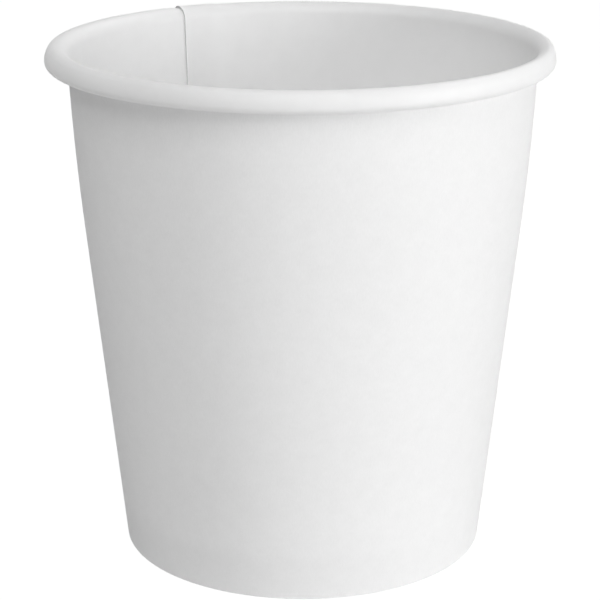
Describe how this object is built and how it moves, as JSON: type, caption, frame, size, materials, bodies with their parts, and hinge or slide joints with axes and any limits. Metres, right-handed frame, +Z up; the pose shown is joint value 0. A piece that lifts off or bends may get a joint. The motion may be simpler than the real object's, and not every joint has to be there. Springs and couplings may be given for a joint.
{
  "type": "paper coffee cup",
  "caption": "Single-wall paper cup for a hot drink, a tapered cone with a rolled rim, a lapped side seam and a recessed bottom.",
  "frame": {"origin": "middle of the circle that the foot stands on, on the cup's own axis", "axes": "+Z up along the cup's axis, -Y towards the picture's viewpoint, so the side seam lies at the back and a little to the left, towards +Y and -X"},
  "size_m": [0.073, 0.073, 0.0751],
  "materials": {
    "sidewall_board": "matte",
    "bottom_board": "matte"
  },
  "bodies": {
    "root": {"sidewall": "sidewall_board", "bottom_disc": "bottom_board"}
  },
  "joints": []
}
